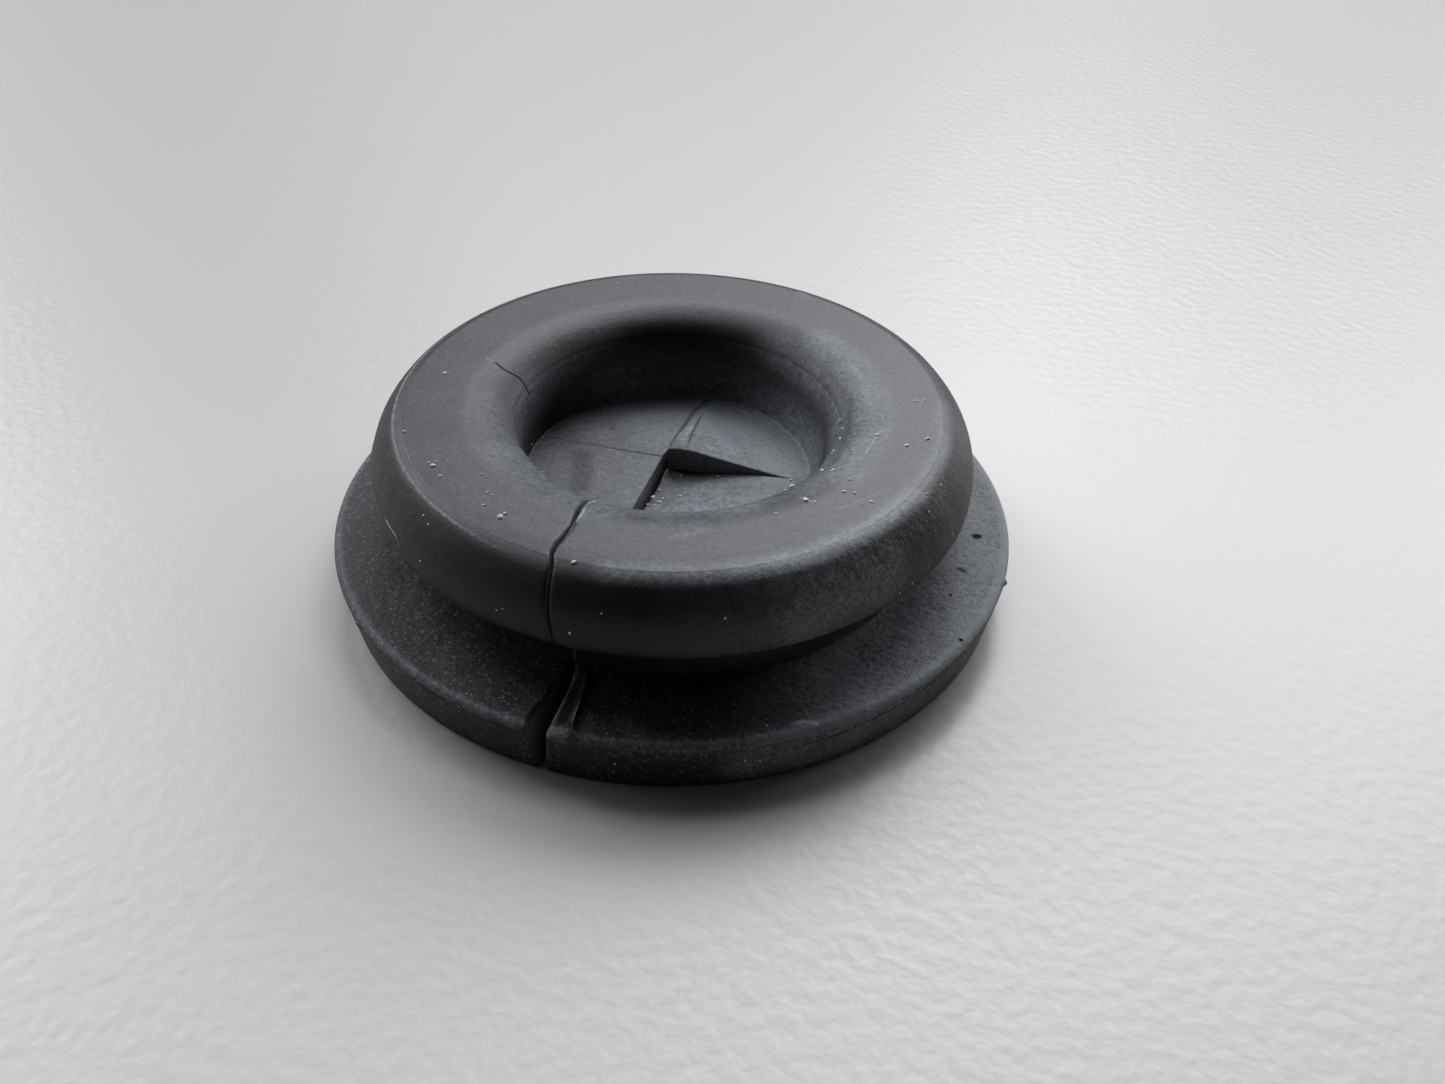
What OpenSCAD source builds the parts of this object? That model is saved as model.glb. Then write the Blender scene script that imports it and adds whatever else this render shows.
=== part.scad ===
// Split membrane grommet, moulded in one piece of black rubber.
// The origin is the middle of the underside, on the axis. +Z is up, and the wall slit faces -Y.

/* [Flange] */
// Diameter of the lower flange at its rim
flange_d = 32; // [30:0.5:36]
// Thickness of the lower flange
flange_t = 2.7; // [2.2:0.1:3.4]
// How far the side of the flange draws in at its foot
flange_draft = 0.45; // [0.1:0.05:0.8]
// Edge radius of the rim
rim_edge = 0.35; // [0.2:0.05:0.5]

/* [Panel groove] */
// Diameter at the bottom of the groove, which is the panel hole that it fits
groove_d = 24; // [22:0.5:25]
// Width of the groove, which is the thickest panel that it takes
groove_w = 2.7; // [2:0.1:3.2]

/* [Head] */
// Diameter of the head at its lip
head_d = 27.7; // [27.3:0.1:29]
// Height of the head above the groove
head_h = 3.2; // [3:0.1:3.6]
// Radius of the rounded shoulder
shoulder_r = 3.35; // [3.2:0.05:3.6]
// Height of the widest line of the shoulder above the groove
shoulder_h = 0.5; // [0.3:0.05:0.8]
// Radius of the edge between the flat top and the shoulder
top_edge = 1.2; // [0.6:0.1:1.4]

/* [Cable bore] */
// Diameter of the bore at the membrane
bore_d = 13.4; // [12.6:0.1:14]
// Diameter of the edge at which the dished mouth breaks into the bore
mouth_d = 14.6; // [14.2:0.1:15.4]
// Depth of that edge below the flat top
mouth_depth = 0.85; // [0.6:0.05:1.1]
// Diameter of the dished mouth where it leaves the flat top
dish_d = 19.6; // [18.8:0.1:20.6]
// Chamfer at the lower mouth of the bore
foot_chamfer = 0.4; // [0.2:0.1:0.8]

/* [Membrane] */
// Depth of the face of the membrane below the top of the head
membrane_depth = 3.9; // [3.6:0.05:4.2]
// Thickness of the membrane
membrane_t = 1.2; // [0.8:0.1:1.6]
// Width of the knife cuts that cross the membrane
cut_w = 0.12; // [0.08:0.02:0.3]
// Width of the front cut, which the wall slit has drawn open
front_cut_w = 0.3; // [0.2:0.05:0.6]
// Distance of the crossing behind the axis
crossing_back = 0.9; // [0:0.05:1.1]
// Turn of the cut from left to right out of the X axis
cross_turn = 2; // [0:0.5:4]
// Length of the right-hand cut
right_cut = 6; // [5.4:0.1:6.2]
// Length of the rear cut
rear_cut = 5.6; // [4.8:0.1:5.6]
// Lean of the rear cut towards the right
rear_lean = 7; // [0:1:12]
// How far the rear right flap stands up
raised_angle = 8; // [0:1:10]
// How far the front right flap hangs down
sunk_angle = 8; // [0:1:10]

/* [Wall slit] */
// Distance of the slit from the axis, towards the left
slit_offset = 0.8; // [0:0.1:1]
// Width of the slit through the head and the groove
slit_w = 0.15; // [0.1:0.05:0.4]
// Distance from the axis at which the slit starts to open into a notch in the flange
notch_start = 13.4; // [12.6:0.1:14]
// Width of that notch at the rim
notch_w = 0.95; // [0.4:0.05:1.4]

/* [Rib beside the slit] */
// Width of the low rib on the flange, measured from the slit
rib_w = 1.65; // [1.2:0.05:1.9]
// Height of the rib above the flange
rib_h = 0.18; // [0.1:0.02:0.4]

/* [Hidden] */
$fn = 128;
flange_r = flange_d / 2;
groove_r = groove_d / 2;
head_r = head_d / 2;
bore_r = bore_d / 2;
lip_z = flange_t + groove_w;
top_z = lip_z + head_h;
membrane_z = top_z - membrane_depth;
shoulder_z = lip_z + shoulder_h;
shoulder_x = head_r - shoulder_r;
rim_z = flange_t - rim_edge;
edge_z = top_z - top_edge;
edge_x = shoulder_x + sqrt(pow(shoulder_r - top_edge, 2) - pow(edge_z - shoulder_z, 2));
meet_z = shoulder_z + (edge_z - shoulder_z) * shoulder_r / (shoulder_r - top_edge); // edge meets shoulder
dish_r = dish_d / 2;
mouth_r = mouth_d / 2;
mouth_z = top_z - mouth_depth;
dish_turn = 2 * atan(mouth_depth / (dish_r - mouth_r)); // slope of the dish where it meets the bore
dish_curve = (dish_r - mouth_r) / sin(dish_turn); // radius of the dish's section
crossing = [-slit_offset, crossing_back];
over = 1; // how far a cutter runs past what it cuts
hinge_lap = 0.99; // share of a flap's plan that is cut free, so that its hinge line stays joined
corners = [
    crossing + right_cut * [cos(cross_turn), sin(cross_turn)],
    crossing + rear_cut * [sin(rear_lean), cos(rear_lean)],
    [crossing[0], -sqrt(bore_r * bore_r - slit_offset * slit_offset)]
];

// Half section of the flange: a foot that draws in, and a rim with a rounded upper edge
module flange_section() {
    polygon([
        [0, 0], [flange_r - flange_draft, 0], [flange_r, rim_z],
        [flange_r - rim_edge, rim_z], [flange_r - rim_edge, flange_t], [0, flange_t]
    ]);
    intersection() {
        translate([flange_r - rim_edge, rim_z]) circle(rim_edge);
        translate([flange_r - rim_edge, rim_z]) square(2 * rim_edge);
    }
}

// Half section of the head: a flat top, a soft edge, and one round shoulder down to the lip
module head_section() {
    translate([0, lip_z]) square([edge_x, head_h]);
    intersection() {
        translate([shoulder_x, shoulder_z]) circle(shoulder_r);
        translate([shoulder_x, lip_z]) square([2 * shoulder_r, meet_z - lip_z]);
    }
    intersection() {
        translate([edge_x, edge_z]) circle(top_edge);
        translate([edge_x, meet_z]) square(top_edge);
    }
}

// What the bore takes out of the section above the membrane: a wall that opens upwards to an
// edge, and the dished mouth, whose section is an arc that leaves the flat top without a break
module mouth_section() {
    polygon(concat(
        [[0, membrane_z], [bore_r, membrane_z]],
        [for (step = [12:-1:0]) let (turn = dish_turn * step / 12)
            [dish_r - dish_curve * sin(turn), top_z - dish_curve * (1 - cos(turn))]],
        [[dish_r, top_z + over], [0, top_z + over]]
    ));
}

// What the bore takes out of the section below the membrane, with its chamfered foot
module foot_section() {
    polygon([
        [0, -over], [bore_r + foot_chamfer + over, -over], [bore_r, foot_chamfer],
        [bore_r, membrane_z - membrane_t], [0, membrane_z - membrane_t]
    ]);
}

// The ring as it leaves the mould, with its membrane whole
module ring() {
    rotate_extrude() difference() {
        union() {
            flange_section();
            square([groove_r, top_z - head_h / 2]);
            head_section();
        }
        mouth_section();
        foot_section();
    }
}

// Plan of one flap of the membrane: the corner at the crossing, and its two hinge points.
// A share under 1 draws the hinge line in towards the crossing.
module flap_plan(a, b, share = 1) {
    polygon([crossing, crossing + share * (a - crossing), crossing + share * (b - crossing)]);
}

// One flap turned about the line from a to b, which lies at height z in the membrane.
// It rises for an angle above 0 and sinks for one below 0.
module flap(a, b, z, angle) {
    along = atan2(b[1] - a[1], b[0] - a[0]);
    translate([a[0], a[1], z]) rotate(along) rotate([angle, 0, 0]) rotate(-along)
        translate([-a[0], -a[1], membrane_z - membrane_t - z]) linear_extrude(membrane_t)
            flap_plan(a, b);
}

// The low rib that runs out along the flange beside the slit
module rib() {
    intersection() {
        cylinder(h = flange_t + rib_h, r = flange_r);
        translate([-slit_offset, -flange_r - over, flange_t / 2])
            cube([rib_w, flange_r - groove_r + 2 * over, flange_t]);
    }
}

// Knife cut through the membrane from the crossing, with the given reach, direction and width
module knife_cut(reach, direction, width) {
    translate(crossing) rotate(direction) translate([0, -width / 2, membrane_z - 2 * membrane_t])
        cube([reach + width / 2, width, 4 * membrane_t]);
}

// The slit through the wall on the -Y side, with the notch that it opens into in the flange
module wall_slit() {
    translate([-slit_offset - slit_w / 2, -flange_r - over, -over])
        cube([slit_w, flange_r + over, top_z + 2 * over]);
    reach = flange_r + over - notch_start;
    half = notch_w / 2 * reach / (flange_r - notch_start);
    translate([-slit_offset, -notch_start, -over]) linear_extrude(flange_t + 2 * over)
        polygon([[0, 0], [-half, -reach], [half, -reach]]);
}

module grommet() {
    color("#26262a") difference() {
        union() {
            difference() {
                ring();
                translate([0, 0, membrane_z - 2 * membrane_t]) linear_extrude(3 * membrane_t) {
                    flap_plan(corners[0], corners[1], hinge_lap);
                    flap_plan(corners[2], corners[0], hinge_lap);
                }
            }
            flap(corners[0], corners[1], membrane_z - membrane_t, raised_angle);
            flap(corners[2], corners[0], membrane_z, -sunk_angle);
            rib();
        }
        knife_cut(bore_r - slit_offset, 180 + cross_turn, cut_w);
        knife_cut(right_cut, cross_turn, cut_w);
        knife_cut(rear_cut, 90 - rear_lean, cut_w);
        knife_cut(bore_r + crossing_back, -90, front_cut_w);
        wall_slit();
    }
}

grommet();
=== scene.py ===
"""Split membrane cable grommet of black rubber on a pale floor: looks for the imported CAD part."""

import math

import bmesh
import bpy
import numpy as np
from mathutils import Matrix, Vector
from mathutils.bvhtree import BVHTree


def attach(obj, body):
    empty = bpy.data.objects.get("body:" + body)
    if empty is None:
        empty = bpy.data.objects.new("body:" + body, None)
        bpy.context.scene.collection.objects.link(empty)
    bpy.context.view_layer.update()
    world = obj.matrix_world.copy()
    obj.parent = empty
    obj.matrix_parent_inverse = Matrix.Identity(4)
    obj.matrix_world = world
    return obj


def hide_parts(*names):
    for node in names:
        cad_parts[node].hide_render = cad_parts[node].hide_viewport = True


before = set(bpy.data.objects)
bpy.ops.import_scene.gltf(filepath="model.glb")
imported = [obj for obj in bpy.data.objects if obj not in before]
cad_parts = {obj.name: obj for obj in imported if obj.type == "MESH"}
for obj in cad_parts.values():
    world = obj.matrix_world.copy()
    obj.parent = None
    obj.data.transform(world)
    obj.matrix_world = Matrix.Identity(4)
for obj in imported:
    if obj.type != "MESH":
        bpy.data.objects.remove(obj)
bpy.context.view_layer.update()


# ------------------------------------------------------------------ camera
# One metre is the unit, so sizes in mm are multiplied by MM.

MM = 0.001
PLACE = (16.7139, -51.4149, 42.9339)                   # mm
AZIMUTH, ELEVATION, ROLL = 15.5, 38.1733, 1.6204       # degrees
LENS = 34.879                                          # mm, for a sensor 36 mm wide

camera = bpy.data.objects.new("camera", bpy.data.cameras.new("camera"))
camera.data.sensor_width = 36.0
camera.data.sensor_fit = "HORIZONTAL"
camera.data.lens = LENS
camera.data.clip_start = 0.001
camera.matrix_world = (
    Matrix.Translation(Vector(PLACE) * MM)
    @ Matrix.Rotation(math.radians(AZIMUTH), 4, "Z")
    @ Matrix.Rotation(math.radians(90 - ELEVATION), 4, "X")
    @ Matrix.Rotation(math.radians(ROLL), 4, "Z")
)
bpy.context.scene.collection.objects.link(camera)
bpy.context.scene.camera = camera
bpy.context.scene.view_settings.view_transform = "Standard"


# ------------------------------------------------------------------ floor and light
# A plain desk top of pale grey laminate with a soft pebbled grain of about 0.6 mm and a low sheen. The light is
# that of a plain studio: a bank of soft light low behind the object, and a dim even room.

def linear(code, alpha=1.0):
    """sRGB hex code to a linear colour: c/12.92 below 0.04045, else ((c + 0.055) / 1.055) ** 2.4."""
    parts = [int(code[i:i + 2], 16) / 255 for i in (1, 3, 5)]
    return tuple(c / 12.92 if c <= 0.04045 else ((c + 0.055) / 1.055) ** 2.4 for c in parts) + (alpha,)


def add_node(tree, kind, inputs=None, out=0, **settings):
    """Adds a shader node, sets its properties, fills or links its inputs, and gives one of its outputs.
    Inputs go by name or number: on a Map Range 0 is the value, 1 and 2 its range, 3 and 4 the new range."""
    made = tree.nodes.new("ShaderNode" + kind)
    for key, value in settings.items():
        setattr(made, key, value)
    for key, value in (inputs or {}).items():
        if isinstance(value, bpy.types.NodeSocket):
            tree.links.new(value, made.inputs[key])
        else:
            made.inputs[key].default_value = value
    return made.outputs[out]


def material(name):
    """A material with only a Principled shader and its output."""
    made = bpy.data.materials.new(name)
    made.use_nodes = True
    return made, made.node_tree, made.node_tree.nodes["Principled BSDF"].inputs


def in_mm(tree):
    """The place on the object, in mm."""
    place = add_node(tree, "TexCoord", out="Object")
    return add_node(tree, "VectorMath", {0: place, "Scale": 1 / MM}, operation="SCALE")


HALF_DESK = 3     # metres
corners = [(x * HALF_DESK, y * HALF_DESK, 0) for x, y in ((-1, -1), (1, -1), (1, 1), (-1, 1))]
floor_mesh = bpy.data.meshes.new("floor")
floor_mesh.from_pydata(corners, [], [(0, 1, 2, 3)])
floor = bpy.data.objects.new("floor", floor_mesh)
bpy.context.scene.collection.objects.link(floor)
top_skin, tree, shader = material("grained_laminate")
grain = add_node(tree, "TexNoise", {"Vector": in_mm(tree), "Scale": 1.5, "Detail": 2.0, "Roughness": 0.4})
tree.links.new(add_node(tree, "Bump", {"Height": grain, "Distance": 0.03 * MM}), shader["Normal"])
shader["Base Color"].default_value = linear("#cfcbc7")
shader["Roughness"].default_value = 0.36
shader["Specular IOR Level"].default_value = 0.6
floor_mesh.materials.append(top_skin)

world = bpy.data.worlds.new("studio")
bpy.context.scene.world = world
world.use_nodes = True
world.node_tree.nodes["Background"].inputs["Color"].default_value = linear("#e4e6ea")
world.node_tree.nodes["Background"].inputs["Strength"].default_value = 0.03


def softbox(name, azimuth, elevation, radiance, code="#f8faff", distance=1.5, side=0.75):
    """Square area light aimed at the object. azimuth is counted from +Y clockwise seen from above, in degrees.
    Its power is radiance * pi * side^2."""
    light = bpy.data.lights.new(name, "AREA")
    light.shape = "SQUARE"
    light.size = side
    light.energy = radiance * math.pi * side ** 2
    light.color = linear(code)[:3]
    made = bpy.data.objects.new(name, light)
    a, e = math.radians(azimuth), math.radians(elevation)
    away = Vector((math.sin(a) * math.cos(e), math.cos(a) * math.cos(e), math.sin(e)))
    made.location = away * distance + Vector((0, 0, 5 * MM))
    made.rotation_euler = away.to_track_quat("Z", "Y").to_euler()
    bpy.context.scene.collection.objects.link(made)


softbox("back_right", 10, 40, 5.5)
softbox("back_middle", -15, 40, 3.36)
softbox("back_high", -15, 55, 1.17)
softbox("right_low", 35, 12, 5.15)
softbox("left_high", -65, 40, 4.72)
softbox("left_middle", -65, 26, 1.98)
softbox("left_side", -90, 26, 0.84)
softbox("left_low", -90, 12, 1.2)


# ------------------------------------------------------------------ the grommet
# One moulding of black rubber, about 60 Shore A, left matt by the mould: a ring with a panel groove,
# a wide lower flange and a round-shouldered head. Its wall is slit on one side with a knife, and its
# membrane is cut crosswise into four flaps, two of which have taken a set.

# section, mm
TOP_Z, LIP_Z, FLANGE_T = 8.6, 5.4, 2.7
GROOVE_R, LIP_R, FLANGE_R, FOOT_R = 12.0, 13.8, 16.0, 15.55
SHOULDER = (10.5, 5.9, 3.35)     # centre r, centre z, radius
EDGE = (12.05, 7.4, 1.2)         # the softer edge of the top, in the same form
BORE_R, MEMBRANE_Z, MEMBRANE_T = 6.72, 4.7, 1.2
MOUTH_R, MOUTH_Z = 7.3, 7.75     # edge between bore and dish
DISH_R, DISH_CURVE, DISH_TURN = 9.8, 4.1, 37.6     # where it meets the top, its radius, its arc in degrees
RIM_ROUND, BORE_CHAMFER = 0.35, 0.4
FLASH_R = 12.6                   # the fine ridge of flash on the edge of the top

HALF = 50                        # columns in half of a membrane flap
STEPS = np.linspace(0, 1, HALF + 1) ** 1.5     # shares of the half flap where they stand, from the cut
SLIT_REACH = 0.7                 # radians over which the columns lean in to the slit


def smooth(t):
    """3t^2 - 2t^3 between 0 and 1, flat outside."""
    t = np.clip(t, 0.0, 1.0)
    return t * t * (3 - 2 * t)


def arc(centre_r, centre_z, radius, start, end, count):
    """Points centre + radius (sin a, cos a), with a in degrees from +z towards +r."""
    a = np.radians(np.linspace(start, end, count))
    return np.stack([centre_r + radius * np.sin(a), centre_z + radius * np.cos(a)], 1)


def round_corner(before, corner, after, radius, count):
    """Arc of the given radius that touches both sides of a corner: it starts radius * tan(turn / 2)
    before the corner, and its centre lies on the bisector, radius / cos(turn / 2) away."""
    before, corner, after = (np.array(p, float) for p in (before, corner, after))
    way_in = (corner - before) / np.hypot(*(corner - before))
    way_out = (after - corner) / np.hypot(*(after - corner))
    turn = math.acos(float(np.clip(way_in @ way_out, -1, 1)))
    centre = corner + (way_out - way_in) / np.hypot(*(way_out - way_in)) * radius / math.cos(turn / 2)
    start = corner - way_in * radius * math.tan(turn / 2) - centre
    side = math.copysign(1.0, start[0] * way_in[1] - start[1] * way_in[0])
    return np.array([
        centre + start * math.cos(t) + side * np.array([-start[1], start[0]]) * math.sin(t)
        for t in np.linspace(0, turn, count)
    ])


def fill_in(points, gap):
    """Adds evenly spaced points wherever two neighbours are more than their gap apart."""
    out = [points[0]]
    for p, q in zip(points[:-1], points[1:]):
        count = max(1, math.ceil(np.hypot(*(q - p)) / gap(p, q) - 0.01))
        out += [p + (q - p) * k / count for k in range(1, count + 1)]
    return np.array(out)


def ring_section():
    """The ring's section from the membrane's face, over the head and the flange, to its underside."""
    meet = math.degrees(math.atan2(EDGE[0] - SHOULDER[0], EDGE[1] - SHOULDER[1]))
    root, edge = (BORE_R, MEMBRANE_Z), (MOUTH_R, MOUTH_Z)
    dish = arc(DISH_R, TOP_Z - DISH_CURVE, DISH_CURVE, -DISH_TURN, 0, 15)
    under = (BORE_R, MEMBRANE_Z - MEMBRANE_T)
    parts = [
        round_corner((0, MEMBRANE_Z), root, edge, 0.06, 3),
        round_corner(root, edge, dish[1], 0.4, 9),
        dish[2:],
        [[11.5, TOP_Z]],
        arc(*EDGE, 0, meet, 22),
        arc(*SHOULDER, meet, 95.5, 15)[1:],
        round_corner((13.86, 6.0), (LIP_R, LIP_Z), (GROOVE_R, LIP_Z), 0.14, 4),
        round_corner((13.0, LIP_Z), (GROOVE_R, LIP_Z), (GROOVE_R, 4.0), 0.1, 3),
        round_corner((GROOVE_R, 4.0), (GROOVE_R, FLANGE_T), (14.0, FLANGE_T), 0.05, 3),
        arc(FLANGE_R - RIM_ROUND, FLANGE_T - RIM_ROUND, RIM_ROUND, 0, 90, 7),
        round_corner((FLANGE_R, FLANGE_T - RIM_ROUND), (FOOT_R, 0), (10.0, 0), 0.15, 4),
        [[GROOVE_R, 0.0], [BORE_R + BORE_CHAMFER, 0.0], [BORE_R, BORE_CHAMFER]],
        round_corner((BORE_R, 1.0), under, (0, under[1]), 0.06, 3),
    ]
    points = np.concatenate([np.array(p) for p in parts])
    points[np.abs(points[:, 1] - TOP_Z) < 0.01, 1] = TOP_Z

    def gap(p, q):
        parting_line = q[0] > 13.7 and 6.1 < q[1] < 6.75
        underside, lower_bore = q[1] < 0.01 and q[0] < 15, q[0] < 7 and q[1] < 3.6
        return 0.045 if parting_line else 0.9 if underside else 0.5 if lower_bore else 0.24

    return fill_in(points, gap)


# The two faces of the slit, as x in mm at points (r, z) of the section, in the section's order
SLIT = np.array([
    # r, z, left face, right face
    (6.72, 4.70, -0.88, -0.50), (7.20, 7.20, -0.95, -0.75), (7.38, 7.86, -1.12, -0.92),
    (7.96, 8.16, -1.39, -1.19), (8.98, 8.52, -1.30, -1.10), (9.62, 8.60, -1.20, -1.01),
    (10.21, 8.60, -1.11, -0.93), (10.78, 8.60, -1.17, -0.99), (11.50, 8.60, -1.27, -1.08),
    (11.96, 8.60, -1.26, -1.06), (12.45, 8.53, -1.10, -0.91), (12.66, 8.43, -1.03, -0.84),
    (13.12, 7.99, -0.97, -0.78), (13.49, 7.41, -0.91, -0.73), (13.74, 6.77, -0.82, -0.65),
    (13.85, 6.07, -0.68, -0.52), (13.81, 5.45, -0.62, -0.48), (12.00, 5.20, -0.68, -0.50),
    (12.00, 3.00, -0.70, -0.50), (12.45, 2.70, -0.68, -0.26), (12.83, 2.70, -0.67, -0.20),
    (13.50, 2.70, -0.86, -0.19), (13.90, 2.70, -0.91, -0.18), (14.26, 2.70, -0.95, -0.18),
    (15.25, 2.70, -1.12, -0.14), (16.00, 2.35, -1.04, -0.15), (15.85, 1.60, -0.93, -0.16),
    (15.73, 0.95, -0.85, -0.22), (15.60, 0.30, -0.78, -0.40), (15.40, 0.00, -0.74, -0.46),
    (12.00, 0.00, -0.72, -0.54), (7.10, 0.00, -0.74, -0.56), (6.72, 0.40, -0.76, -0.56),
    (6.72, 3.50, -0.88, -0.50),
])

# Where the cuts of the membrane meet its root, as the angle from -Y towards +X, degrees
ARM_ANGLES = np.array([0.0, 99.5, 178.0, 264.0, 360.0])


def column_angles():
    """Angles of the columns from the slit's right face round to its left face.
    Each half flap has HALF steps, and step k ends at (k / HALF)^1.5 of it, counted from the cut."""
    angles = [0.0]
    for start, end in np.radians(np.stack([ARM_ANGLES[:-1], ARM_ANGLES[1:]], 1)):
        middle = (start + end) / 2
        angles += list(start + (middle - start) * STEPS[1:])
        angles += list(end - (end - middle) * STEPS[::-1][1:])
    return np.array(angles)


# Flash and nicks: place, radius and height in mm
RING_MARKS = [
    ((-10.40, -12.10, 2.40), 0.16, 0.14),
    ((15.93, -0.60, 2.40), 0.18, 0.16),
    ((2.92, 11.90, 8.50), 0.30, 0.06),
    ((0.22, -13.81, 5.55), 0.14, 0.05),
]


def bump(points, centre, radius, height):
    """Height of a round swelling: height * exp(-(distance / radius)^2)."""
    return height * np.exp(-np.sum((points - np.array(centre)) ** 2, -1) / radius ** 2)


def hill(x, middle, width):
    """A rounded ridge of height 1: exp(-((x - middle) / width)^2)."""
    return np.exp(-((x - middle) / width) ** 2)


def slit_faces(section, travel):
    """x of the slit's left and right face at each row of the section, on straight lines between the points
    of SLIT, with travel as the way along the section."""
    nearest = [int(np.argmin(np.hypot(*(section - knot[:2]).T))) for knot in SLIT]
    nearest[0], nearest[-1] = 0, len(section) - 1
    return np.interp(travel, travel[nearest], SLIT[:, 2]), np.interp(travel, travel[nearest], SLIT[:, 3])


def slit_lips(r, z, from_left, from_right):
    """The slit's lips are rounded: depth * (1 - way / reach)^2 is taken off. Beside the mouth a fine ridge
    stands proud on the right one."""
    reach, depth = 0.12, 0.05
    rounded = np.clip(1 - from_right / reach, 0, 1) ** 2 + np.clip(1 - from_left / reach, 0, 1) ** 2
    beside_mouth = np.interp(r, [7.5, 7.9, 8.9, 9.4], [0, 1, 1, 0]) * (z > 7.5)
    return 0.07 * beside_mouth * hill(from_right, 0.16, 0.09) - depth * rounded


def front_facet(r, z, turn):
    """Towards the front the flat top ends in a slight facet. At a way x beyond its start it lies lower by
    slope * (x + sqrt(x^2 + soft^2)) / 2, and it runs out on the head's round edge."""
    start = np.interp(turn, [-90, 0, 41, 58, 70, 85, 100], [11.4, 11.5, 11.15, 11.5, 11.7, 11.95, 12.1])
    slope = np.tan(np.radians(np.interp(
        turn,
        [-110, -90, -60, -40, -25, -12, 0, 25, 45, 90, 110],
        [0, 1.0, 1.5, 3.0, 5.5, 7.5, 7.0, 4.0, 3.0, 2.5, 0],
    )))
    soft = np.interp(turn, [-30, 20, 41], [0.30, 0.20, 0.06])
    full_r = 12.1                    # from here on it levels off
    over = np.clip(r - full_r, 0, 0.5)
    beyond = np.minimum(r, full_r) + over - over ** 2 - start
    lower = slope * (beyond + np.sqrt(beyond ** 2 + soft ** 2)) / 2
    return lower * np.interp(r, [10.4, 11.0], [0, 1]) * smooth((13.75 - r) / 1.15) * (z > 6)


def flash_lines(r, z, turn):
    """Left of the slit: a fine ridge of flash on the edge of the top, and low on the head a torn parting
    line, which is a groove of 0.1 mm under a fine lip. Both run out at their ends."""
    on_edge = smooth((turn + 100) / 10) * smooth((-18 - turn) / 14) * (z > 7)
    torn = smooth((turn + 74) / 10) * smooth((-31 - turn) / 6) * (r > 13.5)
    line = np.interp(turn, [-66, -49, -43, -37, -33], [6.58, 6.48, 6.34, 6.30, 6.22])
    lip, groove = 0.04 * hill(z, line + 0.11, 0.05), 0.12 * hill(z, line, 0.05)
    return 0.035 * on_edge * hill(r, FLASH_R, 0.05) + torn * (lip - groove)


def rib(r, z, across, notch):
    """Low rib on the flange beside the slit. It rises straight from the notch to its crest, falls smoothly
    beyond it, and goes out along the flange and over its rim."""
    height, far_side = 0.17, 0.16
    crest = np.interp(r, [12.0, 13.1, 13.8, 14.5, 15.3, 16.0], [0.25, 0.40, 0.53, 0.63, 0.78, 0.86])
    rise = np.clip((across - notch) / (crest - notch), 0, 1)
    fall = smooth(1 - (across - crest) / far_side)
    on_flange = smooth((z - 0.6) / 1.2) * smooth((r - 12.1) / 0.5) * (z < FLANGE_T + 0.05) * (r > GROOVE_R)
    return height * on_flange * np.where(across < crest, rise, fall)


def groove_fin(r, z, from_right):
    """Fin of flash that climbs the groove beside the slit, and widens from 0.12 to 0.42 mm on its way up."""
    height, width = 0.16, 0.12 + 0.30 * np.clip((z - 3.0) / 2.0, 0, 1)
    in_groove = (np.abs(r - GROOVE_R) < 0.02) * smooth((z - 2.9) / 0.5) * (z < 6)
    return height * in_groove * smooth(from_right / 0.04) * smooth(1 - (from_right - width) / 0.08)


def mouth_wear(way, turn, angle):
    """What is worn off the edge of the mouth, which is rounded to 0.4 mm in front and to 3 mm round the back.
    Rounding a corner takes off (reach - way)^2 / (2 radius), with reach = 0.38 radius, at a way along the
    section from it."""
    def taken_off(radius):
        return np.clip(0.38 * radius - way, 0, None) ** 2 / (2 * radius)

    worn_rim_and_light = np.interp(turn, [-80, -45, 45, 70, 110], [1, 0, 0, 0.4, 1]) * (1 - 0.3 * np.sin(angle))
    return worn_rim_and_light * (taken_off(3.0) - taken_off(0.4))


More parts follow.
